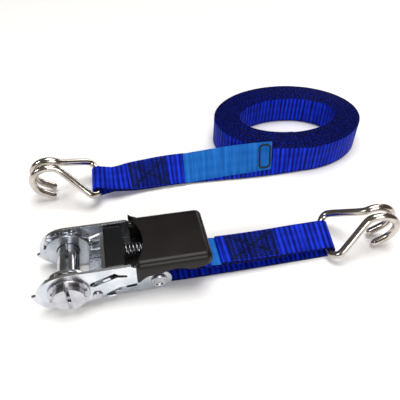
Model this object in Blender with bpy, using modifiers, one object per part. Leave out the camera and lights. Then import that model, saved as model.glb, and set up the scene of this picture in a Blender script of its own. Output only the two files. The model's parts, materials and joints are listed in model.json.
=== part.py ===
"""Ratchet tie down for 25 mm webbing.

A closed ratchet buckle carries a short sewn strap with a double-J wire hook. A second, long strap
has its own hook and label and is rolled up on edge behind the buckle.

Frame: +X runs from the spindle along the buckle to the short strap, +Y to the rolled strap,
+Z up. Z = 0 is the surface the parts lie on, and the origin is under the buckle's floor plate.
"""

import math

import bmesh
import bpy
import numpy as np
from mathutils import Matrix, Vector

MM = 0.001

# Webbing
WEB_WIDTH = 25 * MM
WEB_THICK = 1.5 * MM
LAYER_GAP = 0.4 * MM
FLOOR_GAP = 0.3 * MM

# Buckle: side plates are counted outwards from the middle plane
ORIGIN_FROM_SPINDLE = 36 * MM
SPINDLE_Z = 16.3 * MM
FRAME_FACE = (13.6 * MM, 15.4 * MM)
WHEEL_FACE = (15.7 * MM, 18.0 * MM)
HANDLE_FACE = (18.4 * MM, 20.4 * MM)
CAP_FACE = (20.7 * MM, 22.2 * MM)
HEAD_FACE = (22.5 * MM, 26.2 * MM)
FIT = 0.4 * MM

# Spindle and wheels
SHAFT_R = 7.2 * MM
SLOT_HALF = 1.0 * MM
HEAD_R = 9.9 * MM
CAP_R = 13.0 * MM
TEETH = 12
TOOTH_TIP_R = 16.0 * MM
TOOTH_ROOT_R = 13.2 * MM
GAP_CENTRE_DEG = 13.0
GAP_TIP_DEG = 9.0
GAP_ROOT_DEG = 3.0
SPLIT_PIN_R = 1.0 * MM

# Frame channel
FRAME_END_R = 14.4 * MM
FLOOR_T = 1.8 * MM
BOLT_X = 56.5 * MM
BOLT_Z = 8.6 * MM
LOBE_R = 8.6 * MM
BOLT_R = 3.0 * MM
SLEEVE_R = 4.6 * MM

# Lock pawl, sliding level in the frame
LOCK_Z = 5.2 * MM
LOCK_T = 2.0 * MM
LOCK_TIP_X = 9.4 * MM
LOCK_TRAVEL = 3.0 * MM

# Drive pawl, sliding in the handle along a rising line
DRIVE_DEG = 21.7
DRIVE_START = (14.13 * MM, 19.56 * MM)
DRIVE_T = 2.2 * MM
DRIVE_REST = 2.0 * MM

# Handle and grip
ARM_TOP_Z = 30.0 * MM
CAM_SMALL_R = 15.7 * MM
CAM_NOTCH_R = 19.8 * MM
CAM_LOBE_R = 22.3 * MM
NEAR_NOTCH_DEG = 178.0
FAR_NOTCH_DEG = 193.0
GRIP_FRONT_X = 41.0 * MM
GRIP_REAR_X = 91.0 * MM
GRIP_HALF_Y = 22.1 * MM
GRIP_TOP_Z = 33.5 * MM
GRIP_ROUND = 4.6 * MM
GRIP_WALL = 1.7 * MM

# Wire hooks
WIRE_R = 2.7 * MM
HOOK_HALF = 18.4 * MM
HOOK_CORNER_R = 7.7 * MM
HOOK_LEG = 33.8 * MM
HOOK_LEG_HALF = 3.8 * MM
HOOK_TIP_HALF = 5.2 * MM
HOOK_BEND_R = 13.3 * MM
HOOK_RETURN = 9.0 * MM
SHORT_HOOK = {"at": (179.8, 1.2, 5.6), "yaw": -11.5, "pitch": -42.6, "roll": 7.0}
LONG_HOOK = {"at": (22.6, 90.2, 9.9), "yaw": 182.1, "pitch": -36.3, "roll": -6.0}
LOOP_IN_R = 3.3 * MM
LOOP_OUT_R = 4.9 * MM

# Rolled strap
COIL_AT = (195.0 * MM, 133.0 * MM)
COIL_OUT = (66.5 * MM, 49.5 * MM)
COIL_WALL = 23.0 * MM

# Straps are cut into cells from this far along, past their first eye
CELL_START = 8 * MM

STEEL = ((0.78, 0.80, 0.83), 0.22, 1.0)
BRIGHT_WIRE = ((0.80, 0.77, 0.72), 0.14, 1.0)
BLACK_PLASTIC = ((0.020, 0.017, 0.017), 0.33, 0.0)
BLUE_WEBBING = ((0.012, 0.025, 0.42), 0.62, 0.0)
LABEL_BLUE = ((0.045, 0.26, 0.72), 0.55, 0.0)


def clear_scene():
    for thing in list(bpy.data.objects):
        bpy.data.objects.remove(thing, do_unlink=True)


clear_scene()
parts = bpy.data.collections.new("ratchet_tie_down")
cutters = bpy.data.collections.new("cutters")
bpy.context.scene.collection.children.link(parts)
bpy.context.scene.collection.children.link(cutters)

# Everything is drawn with the spindle at X = 0; this empty carries it to the part's origin.
assembly = bpy.data.objects.new("assembly", None)
assembly.location = (-ORIGIN_FROM_SPINDLE, 0, 0)
parts.objects.link(assembly)


def pivot(name, place, parent=assembly):
    """An empty on a joint's axis, given in assembly coordinates."""
    empty = bpy.data.objects.new(name, None)
    parts.objects.link(empty)
    empty.parent = parent
    carried = Vector()
    while parent is not assembly:
        carried += parent.location
        parent = parent.parent
    empty.location = Vector(place) - carried
    return empty


spindle_axis = pivot("spindle_axis", (0, 0, SPINDLE_Z))
handle_axis = pivot("handle_axis", (0, 0, SPINDLE_Z))
bolt_axis = pivot("bolt_axis", (BOLT_X, 0, BOLT_Z))
short_hook_axis = pivot("short_hook_axis", [c * MM for c in SHORT_HOOK["at"]], bolt_axis)
long_hook_axis = pivot("long_hook_axis", [c * MM for c in LONG_HOOK["at"]])


def material(name, look):
    colour, roughness, metallic = look
    mat = bpy.data.materials.new(name)
    mat.use_nodes = True
    shader = mat.node_tree.nodes["Principled BSDF"]
    shader.inputs["Base Color"].default_value = (*colour, 1.0)
    shader.inputs["Roughness"].default_value = roughness
    shader.inputs["Metallic"].default_value = metallic
    return mat


def finish(obj, look, parent=assembly, smooth=False):
    """Names the material, files the object with the parts and hangs it on its pivot."""
    obj.data.materials.clear()
    obj.data.materials.append(material(obj.name, look))
    for group in obj.users_collection:
        group.objects.unlink(obj)
    parts.objects.link(obj)
    carried = Vector()
    up = parent
    while up is not assembly:
        carried += up.location
        up = up.parent
    obj.parent = parent
    obj.location = obj.location - carried
    if smooth:
        obj.data.shade_smooth()
        obj.data.set_sharp_from_angle(angle=math.radians(35))
    return obj


def add_mesh(name, bm):
    mesh = bpy.data.meshes.new(name)
    bm.to_mesh(mesh)
    bm.free()
    obj = bpy.data.objects.new(name, mesh)
    parts.objects.link(obj)
    return obj


def box(name, x, y, z):
    """A box from its (low, high) along each axis."""
    bm = bmesh.new()
    bmesh.ops.create_cube(bm, size=1)
    sizes = Vector((x[1] - x[0], y[1] - y[0], z[1] - z[0]))
    middle = Vector((x[0] + x[1], y[0] + y[1], z[0] + z[1])) / 2
    bmesh.ops.scale(bm, vec=sizes, verts=bm.verts)
    bmesh.ops.translate(bm, vec=middle, verts=bm.verts)
    return add_mesh(name, bm)


def rod(name, radius, start, end, sides=24, radius_end=None):
    """A round bar or cone between two points."""
    start, end = Vector(start), Vector(end)
    bm = bmesh.new()
    bmesh.ops.create_cone(
        bm, cap_ends=True, segments=sides, radius1=radius,
        radius2=radius if radius_end is None else radius_end, depth=(end - start).length,
    )
    turn = Vector((0, 0, 1)).rotation_difference(end - start).to_matrix().to_4x4()
    bmesh.ops.transform(bm, matrix=Matrix.Translation((start + end) / 2) @ turn, verts=bm.verts)
    return add_mesh(name, bm)


def turned(name, centre, profile, sides=24):
    """A solid turned about a line along Y through (x, z), from its (radius, y) profile."""
    bm = bmesh.new()
    rings = []
    for radius, y in profile:
        rings.append([bm.verts.new((x, y, z)) for x, z in circle(centre, radius, sides)])
    for one, two in zip(rings, rings[1:]):
        for i in range(sides):
            bm.faces.new((one[i], one[i - 1], two[i - 1], two[i]))
    bm.faces.new(rings[0])
    bm.faces.new(rings[-1])
    bmesh.ops.recalc_face_normals(bm, faces=bm.faces)
    return add_mesh(name, bm)


def arc(centre, radius, start_deg, end_deg, steps):
    """Points round an arc, both ends included."""
    angles = np.radians(np.linspace(start_deg, end_deg, steps + 1))
    return [(centre[0] + radius * math.cos(a), centre[1] + radius * math.sin(a)) for a in angles]


def circle(centre, radius, sides=24):
    return arc(centre, radius, 0, 360, sides)[:-1]


def slot(start, end, half_width, steps=6):
    """A round-ended slot's outline."""
    run = math.degrees(math.atan2(end[1] - start[1], end[0] - start[0]))
    return arc(end, half_width, run - 90, run + 90, steps) + arc(
        start, half_width, run + 90, run + 270, steps
    )


def outline_plate(name, loops, low, high, plane="XZ"):
    """A flat plate from closed outlines; the loops inside the first one are holes.

    In the XZ plane its faces lie at Y = low and Y = high, in the XY plane at those heights.
    """
    curve = bpy.data.curves.new(name + "_outline", "CURVE")
    curve.dimensions = "2D"
    curve.fill_mode = "BOTH"
    curve.extrude = (high - low) / 2
    for loop in loops:
        spline = curve.splines.new("POLY")
        spline.points.add(len(loop) - 1)
        for point, (a, b) in zip(spline.points, loop):
            point.co = (a, b, 0, 1)
        spline.use_cyclic_u = True
    flat = bpy.data.objects.new(name + "_outline", curve)
    cutters.objects.link(flat)
    if plane == "XZ":
        flat.matrix_world = Matrix.Translation((0, (low + high) / 2, 0)) @ Matrix.Rotation(
            math.radians(90), 4, "X"
        )
    else:
        flat.matrix_world = Matrix.Translation((0, 0, (low + high) / 2))
    return curve_to_mesh(name, flat)


def curve_to_mesh(name, curve_object):
    """The curve's evaluated surface as a welded mesh in assembly coordinates."""
    bpy.context.view_layer.update()
    graph = bpy.context.evaluated_depsgraph_get()
    mesh = bpy.data.meshes.new_from_object(curve_object.evaluated_get(graph))
    mesh.transform(curve_object.matrix_world)
    bm = bmesh.new()
    bm.from_mesh(mesh)
    bmesh.ops.remove_doubles(bm, verts=bm.verts, dist=1e-6)
    bmesh.ops.recalc_face_normals(bm, faces=bm.faces)
    bpy.data.meshes.remove(mesh)
    bpy.data.objects.remove(curve_object, do_unlink=True)
    return add_mesh(name, bm)


def combine(obj, other, how):
    """A Boolean with the other object, which is filed with the cutters."""
    for group in other.users_collection:
        group.objects.unlink(other)
    cutters.objects.link(other)
    other.parent = assembly
    other.hide_render = True
    other.display_type = "WIRE"
    change = obj.modifiers.new(how.lower(), "BOOLEAN")
    change.operation = how
    change.solver = "EXACT"
    change.object = other
    return obj


def cut(obj, *others):
    for other in others:
        combine(obj, other, "DIFFERENCE")
    return obj


def join(obj, *others):
    for other in others:
        combine(obj, other, "UNION")
    return obj


def round_edges(obj, width, segments=2, angle=40):
    bevel = obj.modifiers.new("round", "BEVEL")
    bevel.width = width
    bevel.segments = segments
    bevel.limit_method = "ANGLE"
    bevel.angle_limit = math.radians(angle)
    return obj


def both_sides(faces):
    """The (low, high) faces of a plate on the near side (-Y) and the far side (+Y)."""
    inner, outer = faces
    return {"near": (-outer, -inner), "far": (inner, outer)}


# --- Frame channel, strap bolt, lock pawl -----------------------------------------------------


def frame_outline():
    """Side plate: round about the spindle, flat underneath, a round lobe about the bolt."""
    spindle = (0, SPINDLE_Z)
    return (
        arc(spindle, FRAME_END_R, -8, 250, 22)
        + [(12 * MM, 0.6 * MM), (18 * MM, 0)]
        + arc((BOLT_X, BOLT_Z), LOBE_R, -90, 90, 12)
        + [(48 * MM, 16 * MM), (34 * MM, 13.6 * MM)]
    )


def lock_slot():
    """The frame plate's slot for the lock pawl's shoulders."""
    low, high = LOCK_Z - LOCK_T / 2 - FIT, LOCK_Z + LOCK_T / 2 + FIT
    left, right = 21.6 * MM, 29.2 * MM + LOCK_TRAVEL
    return [(left, low), (right, low), (right, high), (left, high)]


def make_frame():
    holes = [
        circle((0, SPINDLE_Z), SHAFT_R + FIT, 32),
        circle((BOLT_X, BOLT_Z), BOLT_R + FIT, 20),
        lock_slot(),
        slot((36 * MM, 6.6 * MM), (41 * MM, 6.9 * MM), 1.1 * MM, 4),
    ]
    sides = both_sides(FRAME_FACE)
    frame = outline_plate("frame_channel", [frame_outline()] + holes, *sides["near"])
    far = outline_plate("frame_far_side", [frame_outline()] + holes, *sides["far"])
    floor = box("frame_floor", (20 * MM, 49 * MM), (-14.5 * MM, 14.5 * MM), (0, FLOOR_T))
    stop = box(
        "frame_spring_stop", (45.2 * MM, 46.8 * MM), (-7 * MM, 7 * MM), (1 * MM, 9.4 * MM)
    )
    join(frame, far, floor, stop)
    return finish(frame, STEEL)


def make_bolt():
    inner, outer = FRAME_FACE
    profile = [
        (3.2 * MM, -outer - 0.9 * MM),
        (3.7 * MM, -outer - 1.7 * MM),
        (4.6 * MM, -outer - 1.8 * MM),
        (5.2 * MM, -outer - 1.2 * MM),
        (5.2 * MM, -outer - FIT),
        (BOLT_R, -outer - FIT),
        (BOLT_R, outer + 2.8 * MM),
    ]
    finish(turned("strap_bolt", (BOLT_X, BOLT_Z), profile, 28), STEEL)
    nut = rod("bolt_nut", 5.6 * MM, (BOLT_X, outer + FIT, BOLT_Z), (BOLT_X, outer + 3.6 * MM, BOLT_Z), 6)
    bore = rod("nut_bore", BOLT_R + FIT, (BOLT_X, outer, BOLT_Z), (BOLT_X, outer + 4 * MM, BOLT_Z))
    finish(cut(nut, bore), STEEL)
    reach = inner - FIT
    sleeve = outline_plate(
        "bolt_sleeve",
        [circle((BOLT_X, BOLT_Z), SLEEVE_R), circle((BOLT_X, BOLT_Z), BOLT_R + FIT)],
        -reach, reach,
    )
    finish(sleeve, STEEL)


def make_lock_pawl():
    """A level plate with shoulders through the frame and fingers in line with the wheels."""
    low, high = LOCK_Z - LOCK_T / 2, LOCK_Z + LOCK_T / 2
    inside = FRAME_FACE[0] - FIT
    finger_in, finger_out = WHEEL_FACE[0], WHEEL_FACE[1]
    cam_reach = HANDLE_FACE[1] - FIT
    half = [
        (12 * MM, 0),
        (12 * MM, inside),
        (22 * MM, inside),
        (22 * MM, finger_in),
        (LOCK_TIP_X, finger_in),
        (LOCK_TIP_X, finger_out),
        (22.2 * MM, finger_out),
        (22.2 * MM, cam_reach),
        (28 * MM, cam_reach),
        (28 * MM, inside),
        (36 * MM, inside),
        (36 * MM, 0),
    ]
    mirrored = [(x, -y) for x, y in reversed(half) if y > 0]
    pawl = outline_plate("lock_pawl", [half + mirrored], low, high, plane="XY")
    return finish(pawl, STEEL)


def helix(name, start, end, radius, wire, turns, per_turn=12):
    """A compression spring along X, as a bevelled wire with open ends."""
    curve = bpy.data.curves.new(name, "CURVE")
    curve.dimensions = "3D"
    curve.bevel_depth = wire
    curve.bevel_resolution = 1
    curve.use_fill_caps = True
    spline = curve.splines.new("POLY")
    count = turns * per_turn + 1
    spline.points.add(count - 1)
    for i, point in enumerate(spline.points):
        angle = 2 * math.pi * i / per_turn
        along = start[0] + (end[0] - start[0]) * i / (count - 1)
        point.co = (
            along, start[1] + radius * math.cos(angle), start[2] + radius * math.sin(angle), 1
        )
    wire_object = bpy.data.objects.new(name + "_wire", curve)
    cutters.objects.link(wire_object)
    return curve_to_mesh(name, wire_object)


def make_springs():
    lock = helix(
        "lock_pawl_spring", (37.0 * MM, 0, LOCK_Z), (44.4 * MM, 0, LOCK_Z), 2.4 * MM, 0.4 * MM, 4
    )
    finish(lock, STEEL, smooth=True)
    drive = helix(
        "trigger_spring", (37.2 * MM, 2 * MM, 22.4 * MM), (49.0 * MM, 2 * MM, 22.4 * MM),
        3.9 * MM, 0.65 * MM, 5,
    )
    finish(drive, STEEL, handle_axis, smooth=True)


# --- Spindle, wheels and keepers --------------------------------------------------------------


def wheel_outline():
    """Twelve V-shaped gaps, centred so that both pawls find one in the rest position."""
    points = []
    pitch = 360 / TEETH
    for k in range(TEETH):
        middle = GAP_CENTRE_DEG + k * pitch
        for radius, turn in (
            (TOOTH_TIP_R, -GAP_TIP_DEG),
            (TOOTH_ROOT_R, -GAP_ROOT_DEG),
            (TOOTH_ROOT_R, GAP_ROOT_DEG),
            (TOOTH_TIP_R, GAP_TIP_DEG),
        ):
            a = math.radians(middle + turn)
            points.append((radius * math.cos(a), SPINDLE_Z + radius * math.sin(a)))
    return points


def half_round(side, radius, flat):
    """A D-shaped outline on one side (+1 or -1) of the spindle's slot."""
    bite = math.degrees(math.acos(flat / radius))
    middle = 0 if side > 0 else 180
    return arc((0, SPINDLE_Z), radius, middle - bite, middle + bite, 14)


def make_wheels():
    web = SLOT_HALF - 0.3 * MM
    for place, faces in both_sides(WHEEL_FACE).items():
        loops = [wheel_outline()]
        loops += [half_round(side, SHAFT_R + 0.3 * MM, web) for side in (-1, 1)]
        wheel = outline_plate("ratchet_wheel_" + place, loops, *faces)
        finish(wheel, STEEL, spindle_axis)


def make_spindle():
    """Two half-round bars with half-round heads at both ends; the webbing goes between them."""
    near, far = -HEAD_FACE[1], HEAD_FACE[1]
    pins = {"near": -24.4 * MM, "far": 24.4 * MM}
    for name, side in (("spindle_half_front", -1), ("spindle_half_back", 1)):
        bar = outline_plate(name, [half_round(side, SHAFT_R, SLOT_HALF)], near + 1 * MM, far - 1 * MM)
        for low, high in ((near, -HEAD_FACE[0]), (HEAD_FACE[0], far)):
            head = outline_plate(name + "_head", [half_round(side, HEAD_R, SLOT_HALF + 0.3 * MM)], low, high)
            join(bar, head)
        for y in pins.values():
            drill = rod(
                name + "_drill", SPLIT_PIN_R + 0.3 * MM,
                (-12 * MM, y, SPINDLE_Z), (12 * MM, y, SPINDLE_Z), 12,
            )
            cut(bar, drill)
        finish(bar, STEEL, spindle_axis, smooth=True)
    for place, y in pins.items():
        pin = rod(
            "split_pin_" + place, SPLIT_PIN_R,
            (-11.2 * MM, y, SPINDLE_Z), (11.2 * MM, y, SPINDLE_Z), 12,
        )
        finish(pin, STEEL, spindle_axis, smooth=True)
    for place, faces in both_sides(CAP_FACE).items():
        loops = [circle((0, SPINDLE_Z), CAP_R, 36), circle((0, SPINDLE_Z), SHAFT_R + FIT, 24)]
        washer = outline_plate("cap_washer_" + place, loops, *faces)
        round_edges(washer, 0.4 * MM, 1)
        finish(washer, STEEL, spindle_axis)


# --- Handle, grip and drive pawl --------------------------------------------------------------


def drive_point(along, across=0.0):
    """A point (x, z) on the drive pawl's line: along it from its start, and across it."""
    a = math.radians(DRIVE_DEG)
    x = DRIVE_START[0] + along * math.cos(a) - across * math.sin(a)
    z = DRIVE_START[1] + along * math.sin(a) + across * math.cos(a)
    return x, z


def cam_outline(notch_deg):
    """The handle plate: a cam about the spindle that steps out at a notch, then the arm."""
    points = []
    for deg in np.linspace(96, notch_deg, 12):
        grow = ((deg - 96) / (notch_deg - 96)) ** 1.5
        radius = CAM_SMALL_R + (CAM_NOTCH_R - CAM_SMALL_R) * grow
        a = math.radians(deg)
        points.append((radius * math.cos(a), SPINDLE_Z + radius * math.sin(a)))
    for deg in np.linspace(notch_deg + 1, 272, 12):
        radius = CAM_LOBE_R + (CAM_SMALL_R - CAM_LOBE_R) * (deg - notch_deg - 1) / (271 - notch_deg)
        a = math.radians(deg)
        points.append((radius * math.cos(a), SPINDLE_Z + radius * math.sin(a)))
    arm = [
        (8, 2.6), (12.5, 5.0), (21, 8.4), (26, 11.4), (31, 13.6), (39, 15.0), (44, 16.6),
        (49, 22.4), (58, 24.6), (86.5, 25.2), (86.5, 30.0), (41.5, 30.0), (39.5, 32.0),
    ]
    return points + [(x * MM, z * MM) for x, z in arm]


def pawl_slot():
    """The handle plate's slot: wide for the pawl's ear, narrowing at its upper end."""
    ear = DRIVE_T / 2 + 1.1 * MM
    left = arc(drive_point(1.4 * MM), ear, DRIVE_DEG + 90, DRIVE_DEG + 270, 8)
    step_low, step_high = drive_point(17 * MM, -ear), drive_point(17 * MM, ear)
    tail_start = (31.0 * MM, 24.6 * MM)
    tail_end = (35.6 * MM, 23.6 * MM)
    tail = arc(tail_end, 1.1 * MM, -102, 78, 5)
    return left + [step_low, (tail_start[0], tail_start[1] - 1.1 * MM)] + tail + [
        (tail_start[0] + 0.4 * MM, tail_start[1] + 1.2 * MM), step_high,
    ]


def make_handle():
    rivet = (16.8 * MM, 9.6 * MM)
    holes = [
        circle((0, SPINDLE_Z), SHAFT_R + FIT, 32),
        circle(rivet, 2.2 * MM, 12),
        pawl_slot(),
    ]
    sides = both_sides(HANDLE_FACE)
    handle = outline_plate("handle_frame", [cam_outline(NEAR_NOTCH_DEG)] + holes, *sides["near"])
    far = outline_plate("handle_far_side", [cam_outline(FAR_NOTCH_DEG)] + holes, *sides["far"])
    reach = HANDLE_FACE[0] + 0.8 * MM
    web = box("handle_web", (53 * MM, 86 * MM), (-reach, reach), (28.2 * MM, ARM_TOP_Z))
    seat = box("spring_seat", (50 * MM, 51.6 * MM), (-reach, reach), (17.5 * MM, 28.4 * MM))
    lip = box("seat_lip", (50 * MM, 54 * MM), (-reach, reach), (27.4 * MM, 29.6 * MM))
    join(handle, far, web, seat, lip)
    finish(handle, STEEL, handle_axis)
    for place, side in (("near", -1), ("far", 1)):
        face = HANDLE_FACE[1] + 0.3 * MM
        profile = [
            (1.8 * MM, side * (HANDLE_FACE[0] + 0.1 * MM)),
            (1.8 * MM, side * face),
            (3.3 * MM, side * face),
            (3.1 * MM, side * (face + 0.8 * MM)),
            (1.9 * MM, side * (face + 1.5 * MM)),
        ]
        stud = turned("handle_rivet_" + place, rivet, profile, 18)
        finish(stud, STEEL, handle_axis, smooth=True)


def grip_lower_edge():
    """The wavy lower edge of the grip's side walls, from the ear's tip to the rear."""
    edge = [
        (40.0, 15.6), (43.5, 16.8), (46, 19.8), (49, 22.0), (54, 22.6), (58, 23.2), (62, 24.9),
        (67, 25.8), (71, 25.4), (75, 23.6), (79, 22.9), (84, 24.2), (92, 26.1),
    ]
    return [(x * MM, z * MM) for x, z in edge]


def make_grip():
    """A moulded cover over the handle's arm, with an ear each side and a hollow front edge."""
    grip = box(
        "grip_cover", (GRIP_FRONT_X, GRIP_REAR_X), (-GRIP_HALF_Y, GRIP_HALF_Y), (6 * MM, GRIP_TOP_Z)
    )
    round_edges(grip, GRIP_ROUND, 4)
    inner_y = HANDLE_FACE[1] + 0.3 * MM
    corner = (GRIP_REAR_X - GRIP_WALL - 2.9 * MM, inner_y - 2.9 * MM)
    hollow_outline = (
        [(38 * MM, -inner_y)]
        + arc((corner[0], -corner[1]), 2.9 * MM, -90, 0, 4)
        + arc(corner, 2.9 * MM, 0, 90, 4)
        + [(38 * MM, inner_y)]
    )
    cavity = outline_plate(
        "grip_cavity", [hollow_outline], 4 * MM, ARM_TOP_Z + 0.3 * MM, plane="XY"
    )
    ear = [(41.3, 27), (41.5, 35.2), (43.4, 33.2), (47, 31.4), (48, 27)]
    join(grip, outline_plate(
        "grip_far_ear", [[(x * MM, z * MM) for x, z in ear]], 20.95 * MM, GRIP_HALF_Y - 0.12 * MM
    ))
    below = [(96, 26.4), (96, 2), (36, 2), (36, 15.3)]
    outline = grip_lower_edge() + [(x * MM, z * MM) for x, z in below]
    skirt = outline_plate("grip_skirt_cut", [outline], -30 * MM, 30 * MM)
    hollow = rod("grip_front_cut", 30.8 * MM, (18.2 * MM, 0, 5 * MM), (18.2 * MM, 0, 45 * MM), 72)
    cut(grip, cavity, skirt, hollow)
    return finish(grip, BLACK_PLASTIC, handle_axis, smooth=True)


def make_liner():
    """The grip's inner moulding: a floor under the spring with a cheek at each side."""
    outer = HANDLE_FACE[0] - 0.3 * MM
    liner = box("grip_liner", (27.5 * MM, 49.6 * MM), (-outer, outer), (16.6 * MM, 17.4 * MM))
    for low, high in ((-outer, -15.8 * MM), (15.8 * MM, outer)):
        join(liner, box("liner_cheek", (41.5 * MM, 49.6 * MM), (low, high), (17.0 * MM, 29.0 * MM)))
    return finish(liner, BLACK_PLASTIC, handle_axis)


def make_drive_pawl():
    """A sloped plate with ears in the handle's slots and fingers over the wheels."""
    ear_reach = HANDLE_FACE[1] + 0.5 * MM
    inside, finger_in, finger_out = FRAME_FACE[0] - FIT, WHEEL_FACE[0], WHEEL_FACE[1]
    half = [
        (6 * MM, 0),
        (6 * MM, finger_in),
        (0, finger_in),
        (0, finger_out),
        (6 * MM, finger_out),
        (6 * MM, ear_reach),
        (11 * MM, ear_reach),
        (11 * MM, inside),
        (12 * MM, inside),
        (12 * MM, 0),
    ]
    mirrored = [(u, -y) for u, y in reversed(half) if y > 0]
    pawl = outline_plate("drive_pawl", [half + mirrored], -DRIVE_T / 2, DRIVE_T / 2, plane="XY")
    x, z = drive_point(DRIVE_REST)
    slope = Matrix.Rotation(-math.radians(DRIVE_DEG), 4, "Y")
    pawl.data.transform(Matrix.Translation((x, 0, z)) @ slope)
    finish(pawl, STEEL, handle_axis)
    trigger = box(
        "release_trigger", (24 * MM, 36.4 * MM), (-17.4 * MM, 17.4 * MM), (26.9 * MM, 30.6 * MM)
    )
    round_edges(trigger, 1.2 * MM, 2)
    push = box("trigger_push_wall", (34 * MM, 36.4 * MM), (-7 * MM, 9 * MM), (17.6 * MM, 28 * MM))
    join(trigger, push)
    finish(trigger, BLACK_PLASTIC, handle_axis, smooth=True)


# --- Wire hooks -------------------------------------------------------------------------------


def hook_side(side):
    """Half of the hook's centreline: crossbar, corner, converging leg, J bend, return."""
    points = [(0, t * (HOOK_HALF - HOOK_CORNER_R), 0) for t in (0.0, 0.5)]
    for deg in np.linspace(180, 90, 6):
        a = math.radians(deg)
        points.append(
            (HOOK_CORNER_R * (1 + math.cos(a)), HOOK_HALF - HOOK_CORNER_R * (1 - math.sin(a)), 0)
        )
    last = points[-1]
    points.append(((last[0] + HOOK_LEG) / 2, (last[1] + HOOK_LEG_HALF) / 2, 0))
    bend = np.linspace(90, -95, 13)
    for deg in bend:
        t = (90 - deg) / 185
        a = math.radians(deg)
        points.append(
            (
                HOOK_LEG + HOOK_BEND_R * math.cos(a),
                HOOK_LEG_HALF + (HOOK_TIP_HALF - HOOK_LEG_HALF) * t,
                HOOK_BEND_R * (math.sin(a) - 1),
            )
        )
    end = points[-1]
    points.append((end[0] - HOOK_RETURN, end[1], end[2] + 0.3 * MM))
    return [Vector((x, side * y, z)) for x, y, z in points]


def hook_turn(pose):
    """The hook's rotation: its roll, then its pitch, then its yaw."""
    yaw, pitch, roll = (math.radians(pose[k]) for k in ("yaw", "pitch", "roll"))
    return (
        Matrix.Rotation(yaw, 4, "Z") @ Matrix.Rotation(pitch, 4, "Y") @ Matrix.Rotation(roll, 4, "X")
    )


def make_hook(name, pose, parent):
    curve = bpy.data.curves.new(name, "CURVE")
    curve.dimensions = "3D"
    curve.bevel_depth = WIRE_R
    curve.bevel_resolution = 3
    curve.use_fill_caps = True
    route = list(reversed(hook_side(-1)))[:-1] + hook_side(1)
    spline = curve.splines.new("POLY")
    spline.points.add(len(route) - 1)
    place = Matrix.Translation([c * MM for c in pose["at"]]) @ hook_turn(pose)
    for point, local in zip(spline.points, route):
        point.co = (*(place @ local), 1)
    wire = bpy.data.objects.new(name + "_wire", curve)
    cutters.objects.link(wire)
    hook = curve_to_mesh(name, wire)
    return finish(hook, BRIGHT_WIRE, parent, smooth=True)


# --- Straps -----------------------------------------------------------------------------------


def smooth_run(keys, at):
    """A smooth curve through key rows [position, values...], read at a position."""
    keys = np.array(keys, float)
    where = keys[:, 0]
    slopes = np.gradient(keys[:, 1:], where, axis=0)
    i = int(np.clip(np.searchsorted(where, at) - 1, 0, len(where) - 2))
    span = where[i + 1] - where[i]
    t = (at - where[i]) / span
    if t < 0 or t > 1:
        edge = i if t < 0 else i + 1
        return keys[edge, 1:] + slopes[edge] * (at - where[edge])
    h = (2 * t**3 - 3 * t**2 + 1, t**3 - 2 * t**2 + t, 3 * t**2 - 2 * t**3, t**3 - t**2)
    return (
        h[0] * keys[i, 1:] + h[1] * span * slopes[i] + h[2] * keys[i + 1, 1:] + h[3] * span * slopes[i + 1]
    )


def lay_along(obj, route):
    """Carries a strap drawn flat (X along it, Y across, Z up) onto its route.

    The route gives, for a distance along the strap, its middle and its two cross directions.
    The flat strap is first cut into short cells, so that every face bends with it.
    """
    bm = bmesh.new()
    bm.from_mesh(obj.data)
    ends = sorted({round(v.co.x, 5) for v in bm.verts if v.co.x > CELL_START})
    planes = [((u, 0, 0), (1, 0, 0)) for u in ends[:-1]]
    planes += [((0, v * WEB_WIDTH, 0), (0, 1, 0)) for v in (-0.25, 0, 0.25)]
    for place, normal in planes:
        everything = list(bm.verts) + list(bm.edges) + list(bm.faces)
        bmesh.ops.bisect_plane(bm, geom=everything, dist=1e-5, plane_co=place, plane_no=normal)
    bmesh.ops.triangulate(bm, faces=bm.faces)
    for vertex in bm.verts:
        along, across, up = vertex.co
        middle, width_way, face_way = route(along)
        vertex.co = middle + width_way * across + face_way * up
    bm.to_mesh(obj.data)
    bm.free()
    return obj


def crossbar_way(pose):
    """The direction of a hook's crossbar, towards the far side."""
    way = (hook_turn(pose) @ Vector((0, 1, 0))).normalized()
    return way if way.y > 0 else -way


def short_route(along):
    """The short strap: level at the bolt, turned a little to meet its hook's crossbar."""
    start, end = Vector((BOLT_X, 0, 0)), Vector([c * MM for c in SHORT_HOOK["at"]])
    t = along / (end.x - start.x)
    ease = min(max((t - 0.35) / 0.65, 0), 1)
    ease = ease * ease * (3 - 2 * ease)
    width_way = Vector((0, 1, 0)).lerp(crossbar_way(SHORT_HOOK), ease).normalized()
    middle = Vector((start.x + along, start.y + (end.y - start.y) * ease, 0))
    return middle, width_way, Vector((0, 0, 1))


def short_profile():
    """Side view of the sewn short strap, with its eyes for the bolt sleeve and the hook."""
    hook_u = SHORT_HOOK["at"][0] * MM - BOLT_X
    hook_z = SHORT_HOOK["at"][2] * MM
    bolt_loop, hook_loop = SLEEVE_R + 1.9 * MM, LOOP_OUT_R
    bottom = [(14, 0.9), (24, 0.6), (40, 0.6), (55, 0.6), (70, 0.6), (85, 0.6), (100, 0.6), (112, 0.7)]
    top = [
        (112, 10.4), (100, 10.5), (86, 10.7), (70, 11.0), (55, 11.4), (43.2, 11.8), (43.0, 10.0),
        (30, 10.8), (18, 12.6), (9, 14.2),
    ]
    outline = (
        arc((0, BOLT_Z), bolt_loop, 80, 262, 12)
        + [(u * MM, z * MM) for u, z in bottom]
        + arc((hook_u, hook_z), hook_loop, -85, 88, 10)
        + [(u * MM, z * MM) for u, z in top]
    )
    eyes = [circle((0, BOLT_Z), SLEEVE_R + FIT), circle((hook_u, hook_z), LOOP_IN_R, 20)]
    return [outline] + eyes


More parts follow.
